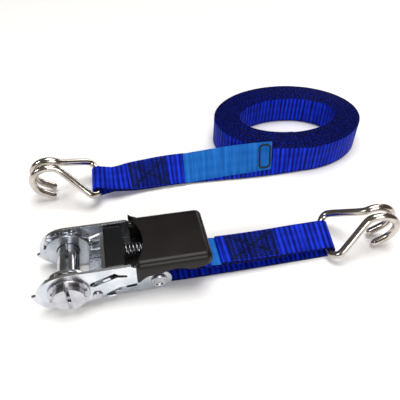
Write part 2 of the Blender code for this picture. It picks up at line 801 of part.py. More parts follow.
def make_short_strap():
    half = WEB_WIDTH / 2
    strap = outline_plate("short_strap", short_profile(), -half, half)
    finish(lay_along(strap, short_route), BLUE_WEBBING, bolt_axis)
    label = box("short_label", (30.5 * MM, 42.6 * MM), (-half, half), (11.4 * MM, 11.9 * MM))
    finish(lay_along(label, short_route), LABEL_BLUE, bolt_axis)


COIL_LAY = WEB_THICK + LAYER_GAP

# Long strap's free run: distance along X, then Y, Z (mm) and the lean of its width from level
LEAD_KEYS = [
    (22.6, 90.2, 9.9, 5), (40, 91.2, 9.2, 16), (58, 92.6, 8.8, 30), (76, 92.8, 9.8, 40),
    (93, 92.2, 10.5, 47), (125, 89.4, 11.4, 56), (150, 85.6, 12.2, 66), (175, 82.5, 12.7, 80),
    (195, 81.6, 12.9, 90),
]
LEAD_TURN_X = 195.0
WRAP_DEG = 36.0


def lead_route(along):
    """The long strap's run from its hook, twisting on edge, then round the coil's front."""
    x = along / MM + LEAD_KEYS[0][0]
    if x <= LEAD_TURN_X:
        y, z, lean = smooth_run(LEAD_KEYS, x)
        ahead = smooth_run(LEAD_KEYS, x + 1)
        run = Vector((1, ahead[0] - y, ahead[1] - z)).normalized()
    else:
        a = math.radians((x - LEAD_TURN_X) / 40 * WRAP_DEG)
        reach = (COIL_OUT[0] + COIL_LAY, COIL_OUT[1] + COIL_LAY)
        x = (COIL_AT[0] + reach[0] * math.sin(a)) / MM
        y = (COIL_AT[1] - reach[1] * math.cos(a)) / MM
        z, lean = 12.9, 90
        run = Vector((reach[0] * math.cos(a), reach[1] * math.sin(a), 0)).normalized()
    lean = math.radians(lean)
    width_way = Vector((0, math.cos(lean), math.sin(lean)))
    width_way = (width_way - run * width_way.dot(run)).normalized()
    eye = min(max(1 - (along - 6 * MM) / (20 * MM), 0), 1)
    width_way = width_way.lerp(crossbar_way(LONG_HOOK), eye).normalized()
    run = (run - width_way * run.dot(width_way)).normalized()
    face_way = run.cross(width_way)
    return Vector((x, y, z)) * MM, width_way, face_way


def long_profile():
    """Side view of the long strap's free run: hook eye, doubled and sewn, then single."""
    doubled, end = 70.0, 212.0
    upper, lower = WEB_THICK / MM + 0.1, -WEB_THICK / MM + 0.7
    steps = list(np.arange(12, doubled, 8)) + [doubled]
    single = list(np.arange(doubled + 8, end, 8)) + [end]
    top = [(u, upper) for u in steps] + [(doubled, -lower)] + [(u, -lower) for u in single]
    bottom = [(u, lower) for u in reversed(single)] + [(u, lower - 0.75) for u in reversed(steps)]
    outline = arc((0, 0), LOOP_OUT_R, 35, 325, 16)
    outline = list(reversed(outline)) + [(u * MM, z * MM) for u, z in top + bottom]
    return [outline, circle((0, 0), LOOP_IN_R, 20)]


def label_route(along):
    """The long strap's label: sewn under the doubled end, then standing clear of the strap."""
    middle, width_way, face_way = lead_route(along)
    free = max(along / MM - 70, 0) / 75
    return middle + face_way * (1.5 + 1.2 * free) * MM + width_way * 5.5 * free * MM, width_way, face_way


def make_long_strap():
    half = WEB_WIDTH / 2
    lead = outline_plate("long_strap_lead", long_profile(), -half, half)
    lead = lay_along(lead, lead_route)
    finish(lead, BLUE_WEBBING)
    under = [(u * MM, -0.25 * MM) for u in range(72, 144, 5)]
    over = [(u * MM, 0.25 * MM) for u in range(142, 71, -5)]
    label = outline_plate("long_label", [under + over], -half, half)
    finish(lay_along(label, label_route), LABEL_BLUE)
    inner = [c - COIL_WALL for c in COIL_OUT]
    angles = np.linspace(0, 2 * math.pi, 57)[:-1]
    rings = [
        [(COIL_AT[0] + rx * math.cos(a), COIL_AT[1] + ry * math.sin(a)) for a in angles]
        for rx, ry in (COIL_OUT, inner)
    ]
    coil = outline_plate("long_strap_coil", rings, FLOOR_GAP, FLOOR_GAP + WEB_WIDTH, plane="XY")
    finish(coil, BLUE_WEBBING)


make_frame()
make_bolt()
make_lock_pawl()
make_springs()
make_wheels()
make_spindle()
make_handle()
make_grip()
make_liner()
make_drive_pawl()
make_short_strap()
make_long_strap()
make_hook("short_hook", SHORT_HOOK, short_hook_axis)
make_hook("long_hook", LONG_HOOK, long_hook_axis)
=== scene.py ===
# %% [markdown]
# # A ratchet tie down, finished over its CAD frame
# The frame gives every hard piece at its true size. This lesson adds the camera and the light, then
# the metal, the plastic, the webbing with its sewing, and the long strap rolled up on its edge.
# The box round the CAD pieces is kept, so that the finished object can be compared with it.

# %% Load the frame
import json
import math

import bmesh
import bpy
import numpy as np
from mathutils import Matrix, Vector, noise

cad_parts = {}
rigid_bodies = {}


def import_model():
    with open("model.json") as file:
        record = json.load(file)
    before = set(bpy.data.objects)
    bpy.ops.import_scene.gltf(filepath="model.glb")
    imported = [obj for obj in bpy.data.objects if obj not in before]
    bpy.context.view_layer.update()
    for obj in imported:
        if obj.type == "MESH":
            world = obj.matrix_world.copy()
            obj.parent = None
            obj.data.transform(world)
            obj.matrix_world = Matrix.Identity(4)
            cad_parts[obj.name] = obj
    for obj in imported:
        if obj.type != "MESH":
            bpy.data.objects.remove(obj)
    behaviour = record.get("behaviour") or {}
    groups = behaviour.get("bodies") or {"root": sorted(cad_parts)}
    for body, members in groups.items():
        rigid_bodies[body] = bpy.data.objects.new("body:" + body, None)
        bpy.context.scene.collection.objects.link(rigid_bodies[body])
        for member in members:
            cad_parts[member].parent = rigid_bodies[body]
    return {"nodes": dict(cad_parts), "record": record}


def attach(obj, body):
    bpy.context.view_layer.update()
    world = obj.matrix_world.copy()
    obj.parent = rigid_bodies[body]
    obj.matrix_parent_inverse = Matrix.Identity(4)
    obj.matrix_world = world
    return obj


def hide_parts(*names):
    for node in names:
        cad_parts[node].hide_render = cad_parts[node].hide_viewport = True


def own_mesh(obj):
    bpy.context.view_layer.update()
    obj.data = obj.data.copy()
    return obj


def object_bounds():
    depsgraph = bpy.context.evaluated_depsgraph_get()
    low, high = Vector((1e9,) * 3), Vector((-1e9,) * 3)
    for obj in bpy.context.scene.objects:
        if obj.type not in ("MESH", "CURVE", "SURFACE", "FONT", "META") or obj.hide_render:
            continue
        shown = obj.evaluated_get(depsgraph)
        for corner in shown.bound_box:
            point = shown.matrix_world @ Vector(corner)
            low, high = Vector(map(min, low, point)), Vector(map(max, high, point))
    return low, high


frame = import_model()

MM = 0.001
SPINDLE_X = -36.0
cad_box = [list(corner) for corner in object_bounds()]
print("CAD box, mm:", [[round(c / MM, 1) for c in corner] for corner in cad_box])

# %% [markdown]
# ## The viewpoint
# A tie down laid out on a table is seen from the front and well above it. A camera is placed by the
# directions it looks along and holds as upright, which is easier to read than three angles.

# %% Set the camera
eye = Vector((39.47 + SPINDLE_X, -203.31, 256.10)) * MM
looks = Vector((0.1628, 0.7114, -0.6837)).normalized()
upright = Vector((0.1275, 0.6720, 0.7295))
sideways = looks.cross(upright).normalized()
upright = sideways.cross(looks)
camera_data = bpy.data.cameras.new("viewpoint")
camera_data.lens = 42.03
camera_data.clip_start = 0.01
camera = bpy.data.objects.new("viewpoint", camera_data)
bpy.context.scene.collection.objects.link(camera)
turn = Matrix((sideways, upright, -looks)).transposed()
camera.matrix_world = Matrix.Translation(eye) @ turn.to_4x4()
bpy.context.scene.camera = camera
print("camera stands", round(eye.length, 3), "m from the buckle")

# %% [markdown]
# ## Shader maths as plain expressions
# A finish is easier to read as `wear * 0.5 + grain` than as a page of nodes. A small class wraps a
# node's socket, and its operators add the Math nodes. One method makes every other node.


# %% Wrap sockets so that operators add nodes
class Signal:
    """A node socket that takes part in sums."""

    def __init__(self, finish, socket):
        self.finish, self.socket = finish, socket

    def math(self, operation, *values):
        node = self.finish.node("ShaderNodeMath", {"operation": operation}, dict(enumerate(values)))
        return node.out()

    def __add__(self, other):
        return self.math("ADD", self, other)

    def __mul__(self, other):
        return self.math("MULTIPLY", self, other)

    __radd__, __rmul__ = __add__, __mul__

    def size(self):
        return self.math("ABSOLUTE", self)

    def sine(self):
        return self.math("SINE", self)

    def between(self, low, high):
        """0 below low, 1 above high, and smooth between."""
        settings = {"interpolation_type": "SMOOTHSTEP"}
        return self.finish.node("ShaderNodeMapRange", settings, {0: self, 1: low, 2: high}).out()


class Node:
    """A placed node; out() gives one of its outputs as a Signal."""

    def __init__(self, finish, node):
        self.finish, self.node = finish, node

    def out(self, name=0):
        return Signal(self.finish, self.node.outputs[name])


class Finish:
    """A material built round one Principled shader."""

    def __init__(self, name, **constants):
        self.material = bpy.data.materials.new(name)
        self.material.use_nodes = True
        self.tree = self.material.node_tree
        self.shader = self.tree.nodes["Principled BSDF"]
        for socket, value in constants.items():
            self.shader.inputs[socket.replace("_", " ")].default_value = value

    def node(self, kind, settings=None, inputs=None):
        """Adds a node, makes its settings first, then fills or links its sockets."""
        made = self.tree.nodes.new(kind)
        for key, value in (settings or {}).items():
            setattr(made, key, value)
        for key, value in (inputs or {}).items():
            if isinstance(value, Signal):
                self.tree.links.new(value.socket, made.inputs[key])
            else:
                made.inputs[key].default_value = value
        return Node(self, made)

    def feed(self, **signals):
        """Links varying signals to the shader's own sockets."""
        for socket, signal in signals.items():
            self.tree.links.new(signal.socket, self.shader.inputs[socket.replace("_", " ")])
        return self

    def place(self):
        return self.node("ShaderNodeTexCoord").out("Object")

    def along(self):
        """The piece's own UV map, in millimetres along and across the cloth."""
        return self.node("ShaderNodeUVMap", {"uv_map": "cloth"}).out()

    def noise(self, where, scale, detail=3.0, roughness=0.55):
        inputs = {"Vector": where, "Scale": scale, "Detail": detail, "Roughness": roughness}
        return self.node("ShaderNodeTexNoise", {}, inputs).out(0)

    def blend_colours(self, factor, one, two):
        def colour(c):
            return c if isinstance(c, Signal) else (*c, 1)

        # The colour sockets of a Mix node set to RGBA are its seventh and eighth inputs.
        inputs = {0: factor, 6: colour(one), 7: colour(two)}
        return self.node("ShaderNodeMix", {"data_type": "RGBA"}, inputs).out(2)

    def bump(self, height, strength, distance):
        inputs = {"Height": height, "Strength": strength, "Distance": distance}
        return self.node("ShaderNodeBump", {}, inputs).out()


# %% [markdown]
# ## Zinc-plated pressed steel
# Plated steel is bright with a cold, slightly cloudy look, and fine rub marks follow the way each
# plate was handled. Its reflection does most of the work, so the finish only varies how rough the
# plating is, and clouds it a little between a light and a darker grey.


# %% Make the steel finishes
def zinc_steel(name, tint, cloud_tint, rough):
    finish = Finish(name, Metallic=1.0)
    where = finish.place()
    cloud = finish.noise(where, 90.0, 4.0)
    drawn = finish.node("ShaderNodeMapping", {}, {"Vector": where, "Scale": (1.0, 14.0, 14.0)})
    rubs = finish.noise(drawn.out(), 260.0)
    specks = finish.noise(where, 900.0, 2.0)
    mask = cloud.between(0.35, 0.7)
    finish.feed(
        Base_Color=finish.blend_colours(mask, tint, cloud_tint),
        Roughness=rubs * 0.16 + cloud * 0.12 + (rough - 0.12),
        Normal=finish.bump(rubs * 0.6 + specks * 0.4, 0.12, 0.00006),
    )
    return finish.material


pressed_steel = zinc_steel("pressed_steel", (0.74, 0.76, 0.79), (0.58, 0.62, 0.68), 0.22)
turned_steel = zinc_steel("turned_steel", (0.60, 0.60, 0.63), (0.42, 0.43, 0.47), 0.17)
frame_steel = zinc_steel("frame_steel", (0.62, 0.65, 0.70), (0.46, 0.50, 0.56), 0.24)
spring_steel = zinc_steel("spring_steel", (0.42, 0.42, 0.44), (0.26, 0.26, 0.28), 0.24)
hook_wire = zinc_steel("hook_wire", (0.64, 0.59, 0.54), (0.46, 0.41, 0.37), 0.16)

# %% [markdown]
# ## Black moulded plastic
# The grip is satin nylon. A mould leaves a fine, even grain, and handling polishes some of it, so
# the roughness drifts over a few millimetres while the grain stays small.


# %% Make the plastic finish
def moulded_black(name, colour, rough):
    finish = Finish(name, Specular_IOR_Level=0.22)
    where = finish.place()
    grain = finish.noise(where, 1900.0, 2.0)
    handled = finish.noise(where, 55.0, 3.0)
    finish.feed(
        Base_Color=finish.blend_colours(handled, colour, tuple(c * 1.9 for c in colour)),
        Roughness=handled * 0.16 + (rough - 0.08),
        Normal=finish.bump(grain, 0.16, 0.00008),
    )
    return finish.material


grip_plastic = moulded_black("grip_plastic", (0.0048, 0.0030, 0.0034), 0.36)
trigger_plastic = moulded_black("trigger_plastic", (0.004, 0.004, 0.0045), 0.30)

# %% [markdown]
# ## Woven webbing, label tape and thread
# Polyester webbing is a dense weave: soft ribs a few millimetres apart run across it, each a row of
# small slanted floats, and some ribs are painted brighter as painted sheen. Its two edges are painted
# darker as painted shade on the roll's top, with bright flecks where single yarns turn back. The
# pattern reads the piece's own map in millimetres, so it follows every fold.


# %% Make the cloth finishes
def woven(name, deep, bright, rib_pitch, rough, float_pitch=0.75, depth=0.0003, edge_shade_amount=0.0):
    """Cloth between a deep and a bright colour; pitches in mm, depth of the weave in metres."""
    finish = Finish(name, Specular_IOR_Level=0.05)
    split = finish.node("ShaderNodeSeparateXYZ", {}, {0: finish.along()})
    run, across = split.out(0), split.out(1)
    ribs = (run * (2 * math.pi / rib_pitch)).sine()
    floats = (across * (2 * math.pi / float_pitch) + run * (math.pi / rib_pitch)).sine()
    weave = ribs * 0.34 + floats * 0.16 + 0.5
    stripes = (across * (2 * math.pi / 8.3) + 0.9).sine() * 0.5 + 0.5
    # Painted sheen: random bands across the cloth are painted brighter, as highlights on ribs that
    # catch the light.
    sheen_streak_map = finish.node("ShaderNodeMapping", {}, {0: finish.along(), "Scale": (0.30, 0.012, 1)})
    sheen_streaks = finish.noise(sheen_streak_map.out(), 1.0, 3.0, 0.7)
    light = weave * 0.62 + stripes * 0.07 + sheen_streaks.between(0.36, 0.68) * 0.40
    cloth = finish.blend_colours(light.between(0.12, 1.12), deep, bright)
    # Painted shade: both edges of the band are painted darker, which darkens the roll's top where the
    # turns lie close; the bright flecks are yarn ends.
    shaded_edge_mask = across.size().between(11.7, 12.4)
    fleck_map = finish.node("ShaderNodeMapping", {}, {0: finish.along(), "Scale": (0.62, 0.8, 1)})
    flecks = finish.noise(fleck_map.out(), 1.0, 2.0, 0.6).between(0.50, 0.68)
    shaded_edge_deep, shaded_edge_bright = tuple(c * 0.28 for c in deep), tuple(c * 0.42 for c in bright)
    shaded_edging = finish.blend_colours(flecks, shaded_edge_deep, shaded_edge_bright)
    finish.feed(
        Base_Color=finish.blend_colours(shaded_edge_mask * edge_shade_amount, cloth, shaded_edging),
        Roughness=weave * -0.16 + (rough + 0.08),
        Normal=finish.bump(weave, 0.85, depth),
    )
    return finish.material


# The strap's edges carry the painted shade that darkens the roll's top.
strap_weave = woven(
    "strap_weave", (0.0010, 0.0026, 0.088), (0.0085, 0.044, 0.82), 3.7, 0.56, edge_shade_amount=1.0
)
label_weave = woven(
    "label_weave", (0.004, 0.070, 0.30), (0.022, 0.200, 0.66), 0.85, 0.46, 0.6, 0.00012
)
thread_black = woven("thread_black", (0.002, 0.003, 0.010), (0.022, 0.036, 0.13), 0.6, 0.60)
thread_pale = woven("thread_pale", (0.55, 0.56, 0.58), (0.85, 0.85, 0.86), 0.5, 0.60)
border_ink = woven("border_ink", (0.010, 0.016, 0.018), (0.030, 0.045, 0.050), 0.85, 0.50)


# %% [markdown]
# ## Pressed plates with softened edges
# Punched plates have slightly rolled edges that catch the light as thin bright lines. Each CAD
# piece is copied, its loose triangles are merged into faces, and a narrow bevel rounds its edges.
# The CAD piece stays in the frame, hidden, to be touched and weighed.


# %% Copy a CAD piece and round its edges
def lone(obj):
    """Selects one object and nothing else."""
    for other in bpy.context.view_layer.objects:
        other.select_set(False)
    obj.select_set(True)
    bpy.context.view_layer.objects.active = obj
    return obj


def body_with(node):
    for body, nodes in frame["record"]["behaviour"]["bodies"].items():
        if node in nodes:
            return body


def dressed(node, finish, edge=0.25, segments=2, smooth=32):
    """A smooth-shaded copy of a CAD node with softened edges."""
    source = frame["nodes"][node]
    piece = bpy.data.objects.new(node + "_finished", source.data.copy())
    bpy.context.scene.collection.objects.link(piece)
    work = bmesh.new()
    work.from_mesh(piece.data)
    bmesh.ops.remove_doubles(work, verts=work.verts, dist=1e-6)
    bmesh.ops.dissolve_limit(
        work, angle_limit=math.radians(1.0), verts=work.verts, edges=work.edges
    )
    work.to_mesh(piece.data)
    work.free()
    piece.data.materials.clear()
    piece.data.materials.append(finish)
    lone(piece)
    if edge:
        soften = piece.modifiers.new("soften", "BEVEL")
        soften.width = edge * MM
        soften.segments = segments
        soften.limit_method = "ANGLE"
        soften.angle_limit = math.radians(38)
        soften.harden_normals = False
        bpy.ops.object.modifier_apply(modifier="soften")
    bpy.ops.object.shade_smooth_by_angle(angle=math.radians(smooth))
    flats = piece.modifiers.new("flats", "WEIGHTED_NORMAL")
    flats.keep_sharp = True
    bpy.ops.object.modifier_apply(modifier="flats")
    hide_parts(node)
    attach(piece, body_with(node))
    return piece


plates = {
    "frame_channel": frame_steel,
    "bolt_nut": turned_steel,
    "bolt_sleeve": turned_steel,
    "strap_bolt": turned_steel,
    "lock_pawl": frame_steel,
    "handle_frame": pressed_steel,
    "drive_pawl": pressed_steel,
    "ratchet_wheel_near": turned_steel,
    "ratchet_wheel_far": turned_steel,
    "cap_washer_near": turned_steel,
    "cap_washer_far": turned_steel,
    "spindle_half_front": turned_steel,
    "spindle_half_back": turned_steel,
    "handle_rivet_near": turned_steel,
    "handle_rivet_far": turned_steel,
}
for node, finish in plates.items():
    dressed(node, finish)
for node in ("split_pin_near", "split_pin_far"):
    dressed(node, spring_steel, edge=0, smooth=60)

# Each spring is dressed, its length along X is read from its box, and it gets a mesh of its own.
for node, joint, travel in (
    ("lock_pawl_spring", "lock_pawl_slide", 3.0),
    ("trigger_spring", "drive_pawl_slide", 3.6),
):
    spring = dressed(node, spring_steel, edge=0, smooth=60)
    corners = [Vector(corner) for corner in spring.bound_box]
    length = max(c.x for c in corners) - min(c.x for c in corners)
    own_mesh(spring)
dressed("grip_cover", grip_plastic, edge=0.3)
dressed("grip_liner", trigger_plastic, edge=0.2)
dressed("release_trigger", trigger_plastic, edge=0.3)
print("pieces dressed:", len(plates) + 7)

# %% [markdown]
# ## Bright wire hooks
# Each hook is one length of round wire: a crossbar through the strap's eye, two corners, two legs
# that lean together, and a double J. The wire is a round tube swept along a line of straight runs
# and arcs, with many more rings than its CAD twin, and its cut ends are slightly rounded.


# %% Lay out the wire's centreline
WIRE_R = 2.7
LEG_END, BEND_R = 33.8, 13.3
HALF_WIDTH, CORNER_R = 18.4, 7.7
LEG_HALF_GAP, TIP_SPREAD, TIP_RUN, TIP_ROUND = 3.8, 1.4, 9.0, 0.5


def half_hook(side):
    """Half of the wire from the middle of the crossbar to one tip, in millimetres."""
    line = [(0.0, y, 0.0) for y in np.linspace(0, HALF_WIDTH - CORNER_R, 5)]
    for a in np.radians(np.linspace(180, 90, 13)[1:]):
        line.append((CORNER_R * (1 + math.cos(a)), HALF_WIDTH - CORNER_R * (1 - math.sin(a)), 0.0))
    corner = line[-1]
    for t in np.linspace(0, 1, 9)[1:-1]:
        x = corner[0] + (LEG_END - corner[0]) * t
        line.append((x, corner[1] + (LEG_HALF_GAP - corner[1]) * t, 0.0))
    for deg in np.linspace(90, -95, 33):
        t, a = (90 - deg) / 185, math.radians(deg)
        y = LEG_HALF_GAP + TIP_SPREAD * t
        line.append((LEG_END + BEND_R * math.cos(a), y, BEND_R * (math.sin(a) - 1)))
    end = line[-1]
    for t in (0.35, 0.7, 1.0):
        line.append((end[0] - TIP_RUN * t, end[1], end[2] + 0.3 * t))
    return [Vector((x, side * y, z)) * MM for x, y, z in line]


def eased(line, rounds=2):
    """The line with each inner point drawn towards its neighbours, which softens its corners."""
    for _ in range(rounds):
        line = [line[0]] + [
            (line[i - 1] + line[i] * 2 + line[i + 1]) / 4 for i in range(1, len(line) - 1)
        ] + [line[-1]]
    return line


def piece_from(work, name, finish):
    """Turns a bmesh into a piece of the scene, with its faces turned outwards."""
    bmesh.ops.recalc_face_normals(work, faces=work.faces)
    mesh = bpy.data.meshes.new(name)
    work.to_mesh(mesh)
    work.free()
    piece = bpy.data.objects.new(name, mesh)
    bpy.context.scene.collection.objects.link(piece)
    piece.data.materials.append(finish)
    return piece


def tube(name, line, radius, finish, sides=24):
    """A closed tube round a line, a little narrower at its two ends."""
    work = bmesh.new()
    rings = []
    ahead = (line[1] - line[0]).normalized()
    lift = ahead.cross(Vector((0, 0, 1))).normalized()
    for i, point in enumerate(line):
        run = (line[min(i + 1, len(line) - 1)] - line[max(i - 1, 0)]).normalized()
        lift = (lift - run * lift.dot(run)).normalized()
        other = run.cross(lift)
        shrink = 0.80 if i in (0, len(line) - 1) else 1.0
        ring = []
        for k in range(sides):
            a = 2 * math.pi * k / sides
            spoke = (lift * math.cos(a) + other * math.sin(a)) * radius * shrink
            ring.append(work.verts.new(point + spoke))
        rings.append(ring)
    for one, two in zip(rings, rings[1:]):
        for k in range(sides):
            work.faces.new((one[k - 1], one[k], two[k], two[k - 1]))
    work.faces.new(rings[0])
    work.faces.new(list(reversed(rings[-1])))
    piece = piece_from(work, name, finish)
    lone(piece)
    bpy.ops.object.shade_smooth_by_angle(angle=math.radians(50))
    return piece


def hook_turn(yaw, pitch, roll):
    """How a hook lies: its roll, then its pitch, then its yaw, in degrees."""
    yaw, pitch, roll = (math.radians(a) for a in (yaw, pitch, roll))
    return (
        Matrix.Rotation(yaw, 4, "Z") @ Matrix.Rotation(pitch, 4, "Y") @ Matrix.Rotation(roll, 4, "X")
    )


SHORT_HOOK_AT = Vector((179.8 + SPINDLE_X, 1.2, 5.6)) * MM
LONG_HOOK_AT = Vector((22.6 + SPINDLE_X, 90.2, 9.9)) * MM
short_hook_turn = hook_turn(-11.5, -42.6, 7.0)
long_hook_turn = hook_turn(182.1, -36.3, -6.0)

# %% Sweep both hooks
for name, at, turned in (
    ("short_hook", SHORT_HOOK_AT, short_hook_turn),
    ("long_hook", LONG_HOOK_AT, long_hook_turn),
):
    line = eased(list(reversed(half_hook(-1)))[:-1] + half_hook(1))
    first_tip = line[0] + (line[0] - line[1]).normalized() * TIP_ROUND * MM
    last_tip = line[-1] + (line[-1] - line[-2]).normalized() * TIP_ROUND * MM
    line = [first_tip] + line + [last_tip]
    place = Matrix.Translation(at) @ turned
    hook = tube(name + "_finished", [place @ p for p in line], WIRE_R * MM, hook_wire)
    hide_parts(name)
    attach(hook, name + "_body")
print("hook wire length, mm:", round(sum((b - a).length for a, b in zip(line, line[1:])) / MM))

# %% [markdown]
# ## Ribbons of webbing
# Webbing is a flat band with slightly rounded edges. One helper lays the band's section along a line
# of places, each with its direction across the band and out of its face. It also writes the cloth
# map in millimetres, so that the weave follows the band.


# %% Sweep a band along a line of frames
def band(name, stations, width, thick, finish, edge_round=0.35):
    """A closed band; a station is (place, across, out) and the map is in millimetres."""
    half, t = width / 2, thick / 2
    soft = t * edge_round * 2
    section = [(v, -t) for v in np.linspace(-half + soft, half - soft, 5)]
    section += [(half, -t + soft * 0.6), (half, t - soft * 0.6)]
    section += [(v, t) for v in np.linspace(half - soft, -half + soft, 5)]
    section += [(-half, t - soft * 0.6), (-half, -t + soft * 0.6)]
    work = bmesh.new()
    cloth = work.loops.layers.uv.new("cloth")
    rows, distance, run = [], 0.0, []
    for i, (place, across, out) in enumerate(stations):
        if i:
            distance += (place - stations[i - 1][0]).length
        run.append(distance / MM)
        rows.append([work.verts.new(place + across * v + out * w) for v, w in section])
    count = len(section)
    for i in range(len(rows) - 1):
        for k in range(count):
            n = (k + 1) % count
            face = work.faces.new((rows[i][k], rows[i][n], rows[i + 1][n], rows[i + 1][k]))
            face.smooth = True
            for loop, (row, at) in zip(face.loops, ((i, k), (i, n), (i + 1, n), (i + 1, k))):
                loop[cloth].uv = (run[row], section[at][0] / MM)
    for row, ring in ((0, list(reversed(rows[0]))), (len(rows) - 1, rows[-1])):
        face = work.faces.new(ring)
        for loop in face.loops:
            loop[cloth].uv = (run[row], 0)
    return piece_from(work, name, finish), distance


def smooth_line(points, step):
    """A Catmull-Rom line through points of any number of values, about a step apart (mm)."""
    points = [np.array(p, float) for p in points]
    padded = [points[0] * 2 - points[1]] + points + [points[-1] * 2 - points[-2]]
    line = []
    for a, b, c, d in zip(padded, padded[1:], padded[2:], padded[3:]):
        count = max(1, int(round(np.linalg.norm((c - b)[:3]) / step)))
        for k in range(count):
            t = k / count
            line.append(
                0.5 * (2 * b + (c - a) * t + (2 * a - 5 * b + 4 * c - d) * t**2
                       + (3 * b - 3 * c + d - a) * t**3)
            )
    return line + [points[-1]]


# %% [markdown]
# ## The short sewn strap
# One band makes the whole short strap. From its cut end it runs over the top to the hook, round
# the crossbar, back along the table, round the sleeve on the buckle's bolt, and under its own end,
# where the two upper layers are sewn together with a box and a cross.

# %% Lay the short strap
STRAP, THICK = 25 * MM, 1.35 * MM
LABEL_WIDTH, LABEL_THICK = 24.6 * MM, 0.4 * MM
STITCH_LIFT, FLOOR_GAP = 0.05, 0.45
BOLT_X, BOLT_Z = 56.5, 8.6
HOOK_X, HOOK_Z = 179.8, 5.6
EYE_R, SLEEVE_R = 4.1, 5.95

# Each place is (x, z) in millimetres, with x counted from the spindle.
upper = [
    (99.8, 11.15), (104, 11.0), (112, 10.65), (126, 10.15), (142, 9.8), (156, 9.75), (168, 9.6)
]
round_hook = [
    (HOOK_X + EYE_R * math.cos(a), HOOK_Z + EYE_R * math.sin(a))
    for a in np.radians(np.linspace(78, -95, 12))
]
lower = [(x, 1.15) for x in (168, 150, 130, 110, 92, 76)] + [(66, 1.5)]
round_bolt = [
    (BOLT_X + SLEEVE_R * math.cos(a), BOLT_Z + SLEEVE_R * math.sin(a))
    for a in np.radians(np.linspace(-100, -290, 14))
]
under = [
    (66, 13.1), (74, 11.4), (84, 10.1), (96, 9.45), (104, 9.3), (112, 9.1), (126, 8.65),
    (142, 8.35), (147, 8.3)
]
places = upper + round_hook + lower + round_bolt + under
side_view = smooth_line([(x, 0, z) for x, z in places], 1.6)


def towards_short_hook(x):
    """How far the strap has turned from the buckle's bolt to the hook's crossbar, 0 to 1."""
    t = (x - BOLT_X) / (HOOK_X - BOLT_X)
    t = min(max((t - 0.35) / 0.65, 0), 1)
    return t * t * (3 - 2 * t)


short_crossbar = (short_hook_turn @ Vector((0, 1, 0))).normalized()


def short_station(x, z, run):
    """The strap's place, its direction across and its outward direction at (x, z) mm."""
    ease = towards_short_hook(x)
    across = Vector((0, 1, 0)).lerp(short_crossbar, ease).normalized()
    place = Vector((x + SPINDLE_X, 1.2 * ease, z)) * MM
    run = (run - across * run.dot(across)).normalized()
    return place, across, across.cross(run).normalized()


stations = []
for i, (x, _, z) in enumerate(side_view):
    one, two = side_view[max(i - 1, 0)], side_view[min(i + 1, len(side_view) - 1)]
    run = Vector((two[0] - one[0], 0, two[2] - one[2])).normalized()
    stations.append(short_station(x, z, run))
short_strap, length = band("short_strap_webbing", stations, STRAP, THICK, strap_weave)
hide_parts("short_strap")
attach(short_strap, "short_strap_body")
print("short strap, mm:", round(length / MM))

# %% [markdown]
# ## Sewn boxes
# A lashing strap is closed by a box of dense stitches: an outline, a cross and rows that fill it. One
# stitch is a short thread lying in the cloth. It is copied along each line, and every second one
# leans the other way, more or less, which gives the mottled look of a zigzag seam.


# %% Sew lines of stitches
def sewn(name, lines, surface, finish, pitch=1.15, length=2.5, thick=0.40, lean=50):
    """Stitches along lines in (run, across) mm; surface gives place, across and out there."""
    work = bmesh.new()
    cloth = work.loops.layers.uv.new("cloth")
    # Each pair is how far along the stitch a ring of its thread lies, and how fat it is there.
    shape = [(-0.5, 0.25), (-0.3, 0.85), (0.0, 1.0), (0.3, 0.85), (0.5, 0.25)]
    for start, end in lines:
        start, end = np.array(start, float), np.array(end, float)
        run = end - start
        total = float(np.linalg.norm(run))
        run = run / total
        for k in range(int(total / pitch) + 1):
            centre = start + run * min(k * pitch, total)
            wander = noise.noise(Vector((k * 0.9, start[0] * 0.7, start[1] * 0.7)))
            tilt = math.radians((lean if k % 2 else -lean) + 60 * wander)
            turned = (
                run[0] * math.cos(tilt) - run[1] * math.sin(tilt),
                run[0] * math.sin(tilt) + run[1] * math.cos(tilt),
            )
            place, across, out = surface(centre[0], centre[1])
            ahead = across.cross(out).normalized()
            direction = (ahead * float(turned[0]) + across * float(turned[1])).normalized()
            beside = direction.cross(out).normalized()
            rings = []
            for t, fat in shape:
                middle = place + direction * (t * length * MM)
                ring = []
                for a in np.radians((0, 60, 120, 180, 240, 300)):
                    spoke = (beside * math.cos(a) + out * math.sin(a)) * thick * fat * MM
                    ring.append(work.verts.new(middle + spoke))
                rings.append(ring)
            for one, two in zip(rings, rings[1:]):
                for j in range(6):
                    face = work.faces.new((one[j - 1], one[j], two[j], two[j - 1]))
                    face.smooth = True
                    for loop in face.loops:
                        loop[cloth].uv = (j * 0.3, k * 0.7)
            work.faces.new(list(reversed(rings[0])))
            work.faces.new(rings[-1])
    return piece_from(work, name, finish)


def sewn_box(start, end, side, rows=10):
    """The lines of a sewn box: its outline, a cross, and rows of filling stitches."""
    corners = [(start, -side), (end, -side), (end, side), (start, side)]
    box = [(corners[i], corners[(i + 1) % 4]) for i in range(4)]
    cross = [(corners[0], corners[2]), (corners[1], corners[3])]
    filling = [
        ((start + 0.8, v), (end - 0.8, v)) for v in np.linspace(-side, side, rows + 2)[1:-1]
    ]
    return box + cross + filling


SEAM_SIDE = 10.4
SHORT_SEAM, LONG_SEAM = (107.5, 141.0), (48.5, 78.0)
top_x, top_z = [p[0] for p in upper], [p[1] for p in upper]


def short_top(x, v):
    """The upper face of the short strap at a distance along the buckle's X."""
    z = float(np.interp(x, top_x, top_z)) + THICK / MM / 2 + STITCH_LIFT
    slope = float(np.interp(x + 1, top_x, top_z)) - float(np.interp(x - 1, top_x, top_z))
    place, across, out = short_station(x, z, Vector((2, 0, slope)).normalized())
    if out.z < 0:
        out = -out
    return place + across * v * MM, across, out


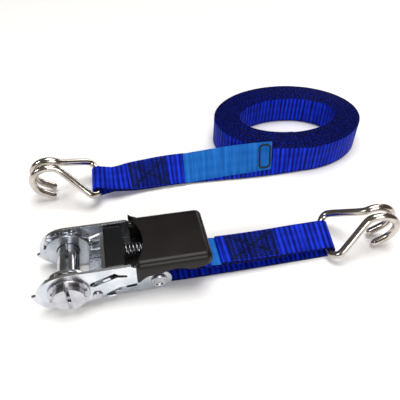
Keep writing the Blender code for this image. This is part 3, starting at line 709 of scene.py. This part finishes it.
lines = sewn_box(*SHORT_SEAM, SEAM_SIDE)
short_seam = sewn("short_strap_sewing", lines, short_top, thread_black)
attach(short_seam, "short_strap_body")
print("short seam rows:", len(lines))

# %% [markdown]
# ## The short strap's label
# A strip of smooth azure tape is caught under the strap's cut end. It lies on the layer below and
# shows only as a narrow band. Any printing is left off.

# %% Lay the short label
label_line = smooth_line([(92.4, 0, 10.9), (95.5, 0, 10.62), (99.2, 0, 10.35)], 1.2)
stations = []
for x, _, z in label_line:
    place, across, out = short_station(x, z + 0.15, Vector((1, 0, -0.08)).normalized())
    stations.append((place, across, out if out.z > 0 else -out))
short_label, length = band(
    "short_label_tape", stations, LABEL_WIDTH, LABEL_THICK, label_weave
)
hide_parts("short_label")
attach(short_label, "short_strap_body")

# %% [markdown]
# ## The long strap's free run
# From its hook the long strap lies almost flat, then twists slowly on to its edge and joins the
# roll. Each key place gives the middle of the band and how far its width leans from level. The
# band is doubled where it was turned back round the crossbar and sewn.

# %% Lay the long strap's route
LEAD_KEYS = [
    (22.6, 90.2, 9.9, 5), (40, 91.2, 9.2, 16), (58, 92.6, 8.8, 30), (76, 92.8, 9.8, 40),
    (93, 92.2, 10.5, 47), (125, 89.4, 11.4, 56), (150, 86.4, 12.2, 66), (175, 84.1, 12.7, 80),
    (195, 83.1, 12.95, 90),
]
COIL_X, COIL_Y = 195.0, 133.0
COIL_A, COIL_B = 66.5, 49.5
EYE_KEEPS, EYE_FADES, SETTLES = 6.0, 20.0, 45.0
long_crossbar = (long_hook_turn @ Vector((0, 1, 0))).normalized()
if long_crossbar.y < 0:
    long_crossbar = -long_crossbar
lead_line = smooth_line(LEAD_KEYS, 2.0)


def lead_frames(shift, first=0.0, last=1e9):
    """Stations of the free run, shifted out of its face, between two values of X (mm)."""
    frames = []
    for i, (x, y, z, lean) in enumerate(lead_line):
        if not first <= x <= last:
            continue
        one, two = lead_line[max(i - 1, 0)], lead_line[min(i + 1, len(lead_line) - 1)]
        run = Vector((two[0] - one[0], two[1] - one[1], two[2] - one[2])).normalized()
        lean = math.radians(lean)
        across = Vector((0, math.cos(lean), math.sin(lean)))
        across = (across - run * across.dot(run)).normalized()
        # Near the hook the band lies along the crossbar.
        eye = min(max(1 - (x - LEAD_KEYS[0][0] - EYE_KEEPS) / EYE_FADES, 0), 1)
        across = across.lerp(long_crossbar, eye).normalized()
        run = (run - across * run.dot(across)).normalized()
        out = run.cross(across)
        # Towards the roll the shift dies away, so that the band meets the outer turn.
        settle = min(max((LEAD_KEYS[-1][0] - x) / SETTLES, 0), 1)
        place = Vector((x + SPINDLE_X, y, z)) * MM + out * (shift * settle * MM)
        frames.append((place, across, out))
    return frames


# %% [markdown]
# ## The roll
# Some five metres of webbing are wound flat against themselves and stood on edge. The roll is one
# band on an oval spiral, with each turn a little higher or lower than the last, as hand winding
# leaves it. Tiny waves keep the turns from looking machined.

# %% Wind the roll
TURNS = 16.0
STEP = 1.435
PER_TURN = 72
WAVE, UNEVEN, CROWN = 0.12, 1.0, 1.1


def roll_station(angle):
    """A place on the spiral; the angle grows from the outside turn inwards."""
    turn = angle / (2 * math.pi)
    inward = turn * STEP
    a, b = COIL_A + 0.4 - inward, COIL_B + 0.4 - inward
    phase = -math.pi / 2 + angle
    wave = WAVE * noise.noise(Vector((3 * math.cos(phase), 3 * math.sin(phase), turn * 0.9)))
    x = COIL_X + (a + wave) * math.cos(phase)
    y = COIL_Y + (b + wave) * math.sin(phase)
    lift = UNEVEN * noise.noise(Vector((turn * 1.7, 4.2, 0.5 * math.cos(phase))))
    crown = CROWN * (1 - abs(2 * turn / TURNS - 1))
    z = STRAP / MM / 2 + FLOOR_GAP + max(lift + crown, -0.3)
    return Vector((x + SPINDLE_X, y, z)) * MM


count = int(TURNS * PER_TURN)
turns_laid = [roll_station(2 * math.pi * k / PER_TURN) for k in range(count + 1)]
roll_frames = []
for k in range(1, count):
    run = (turns_laid[k + 1] - turns_laid[k - 1]).normalized()
    across = Vector((0, 0, 1))
    across = (across - run * across.dot(run)).normalized()
    roll_frames.append((turns_laid[k], across, across.cross(run)))

# %% [markdown]
# ## One band from the sewn end to the middle of the roll
# The long strap is laid as one piece. It starts at the cut end that lies on top, goes back to the
# hook, round the crossbar, and out again underneath, and runs straight on into the roll.

# %% Lay the long strap
crossbar_run = Vector((1, 0, 0))
crossbar_run = (crossbar_run - long_crossbar * crossbar_run.dot(long_crossbar)).normalized()
crossbar_out = crossbar_run.cross(long_crossbar)
LONG_THICK = 1.32 * MM
CUT_END_X, EYE_END_X = 94.5, 33.0
TOP_LAYER, LOWER_LAYER = 0.68, -0.90


def eye_frames(first, last, radius=4.15):
    """The band round the hook's crossbar, from one angle to another."""
    frames = []
    for a in np.radians(np.linspace(first, last, 17)):
        spoke = crossbar_run * math.cos(a) + crossbar_out * math.sin(a)
        frames.append((LONG_HOOK_AT + spoke * radius * MM, long_crossbar, spoke))
    return frames


top_layer = list(reversed(lead_frames(TOP_LAYER, EYE_END_X, CUT_END_X)))
lower_layer = [(p, a, -o) for p, a, o in lead_frames(LOWER_LAYER, EYE_END_X)]
route = top_layer + eye_frames(58, 302) + lower_layer + roll_frames
long_strap, length = band("long_strap_webbing", route, STRAP, LONG_THICK, strap_weave)
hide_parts("long_strap_lead", "long_strap_coil")
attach(long_strap, "long_strap_body")
print("long strap, mm:", round(length / MM))

# %% [markdown]
# ## Sewing and label of the long strap
# The doubled end carries the same box and cross. A longer azure label is caught under it and
# stands away from the strap. Its free end has a plain dark border with nothing printed inside it.


# %% Sew the long strap and add its label
def lead_top(x, v):
    """The upper face of the long strap's doubled end at a distance along the buckle's X."""
    frames = lead_frames(TOP_LAYER + THICK / MM / 2 + STITCH_LIFT, x - 2.2, x + 2.2)
    place, across, out = min(frames, key=lambda f: abs(f[0].x / MM - SPINDLE_X - x))
    place = place + across * v * MM + Vector((x + SPINDLE_X - place.x / MM, 0, 0)) * MM
    return place, across, out


long_seam = sewn("long_strap_sewing", sewn_box(*LONG_SEAM, SEAM_SIDE), lead_top, thread_black)
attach(long_seam, "long_strap_body")

LABEL_END_X = 165.5
LABEL_OVER, LABEL_FREE = 0.95, 75.0
LABEL_STANDS_OFF, LABEL_RISES = 1.3, 6.8


def label_frame(x):
    """The label stands a little away from the strap, and rises, towards its free end."""
    frames = lead_frames(LOWER_LAYER + LABEL_OVER, x - 2.2, x + 2.2)
    place, across, out = min(frames, key=lambda f: abs(f[0].x / MM - SPINDLE_X - x))
    place = place + Vector((x + SPINDLE_X - place.x / MM, 0, 0)) * MM
    free = (x - CUT_END_X) / LABEL_FREE
    place = place + out * LABEL_STANDS_OFF * free * MM + across * LABEL_RISES * max(free, 0) * MM
    return place, across, out


label_frames = [label_frame(x) for x in np.arange(90.5, LABEL_END_X + 0.1, 2.5)]
long_label, length = band(
    "long_label_tape", label_frames, LABEL_WIDTH, LABEL_THICK, label_weave
)
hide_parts("long_label")
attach(long_label, "long_strap_body")
print("long label, mm:", round(length / MM))

# %% [markdown]
# ## A plain border at the label's free end
# The label's free end carries a raised dark frame. Only an empty rounded frame is made here, as a
# thin cord of thread laid on the tape, with nothing printed inside it.

# %% Lay the label's border
LEFT, RIGHT, SIDE, ROUND = 158.6, 161.2, 7.0, 3.0
border = []
corners = ((RIGHT, SIDE, 0), (LEFT, SIDE, 90), (LEFT, -SIDE, 180), (RIGHT, -SIDE, 270))
for corner_x, corner_v, first in corners:
    for a in np.radians(np.linspace(first, first + 90, 7)):
        x, v = corner_x + ROUND * math.cos(a), corner_v + ROUND * math.sin(a)
        place, across, out = label_frame(x)
        border.append(place + across * v * MM + out * 0.3 * MM)
border.append(border[0])
label_border = tube("long_label_border", border, 0.80 * MM, border_ink, sides=8)
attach(label_border, "long_strap_body")

# %% [markdown]
# ## A loose thread
# The machine leaves a short pale end of thread hanging below the seam.

# %% Leave the thread end
thread_line = [
    Vector((x + SPINDLE_X, y, z)) * MM
    for x, y, z in ((72.0, 84.2, 1.6), (74.0, 83.2, 0.9), (76.5, 82.6, 0.5), (79.0, 82.4, 0.45))
]
thread_end = tube("loose_thread", thread_line, 0.28 * MM, thread_pale, sides=8)
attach(thread_end, "long_strap_body")


# %% [markdown]
# ## Light and table
# A white table under broad soft light gives pale, warm, blurred shadows. One lamp hangs overhead,
# a second fills in from the front, and two small ones draw the edges. Steel needs something to
# reflect besides white, so the room round the lamps is dim and warm.


# %% Set the table and the lamps
def soft_lamp(name, at, size, power, colour):
    data = bpy.data.lights.new(name, "AREA")
    data.shape = "DISK"
    data.size = size
    data.energy = power
    data.color = colour
    lamp = bpy.data.objects.new(name, data)
    bpy.context.scene.collection.objects.link(lamp)
    lamp.location = at
    lamp.rotation_euler = (-Vector(at)).to_track_quat("-Z", "Y").to_euler()
    return lamp


bpy.ops.mesh.primitive_plane_add(size=6, location=(0, 0, cad_box[0][2] - 0.0002))
table = bpy.context.object
table.name = "table"
paper = Finish("table_white", Base_Color=(0.93, 0.925, 0.92, 1), Roughness=0.55)
table.data.materials.append(paper.material)
soft_lamp("lamp_over", (0.15, 0.2, 2.0), 1.5, 38.0, (1.0, 0.99, 0.97))
soft_lamp("lamp_left", (-1.6, -0.3, 1.0), 0.5, 9.0, (0.96, 0.98, 1.0))
soft_lamp("lamp_front", (0.2, -1.5, 0.9), 0.9, 15.0, (1.0, 0.99, 0.98))
soft_lamp("lamp_back", (1.2, 1.5, 0.8), 0.5, 4.0, (1.0, 0.99, 0.97))
world = bpy.data.worlds.new("studio")
bpy.context.scene.world = world
world.use_nodes = True
world.node_tree.nodes["Background"].inputs["Color"].default_value = (1.0, 0.88, 0.79, 1)
world.node_tree.nodes["Background"].inputs["Strength"].default_value = 0.10
bpy.context.scene.view_settings.view_transform = "Standard"
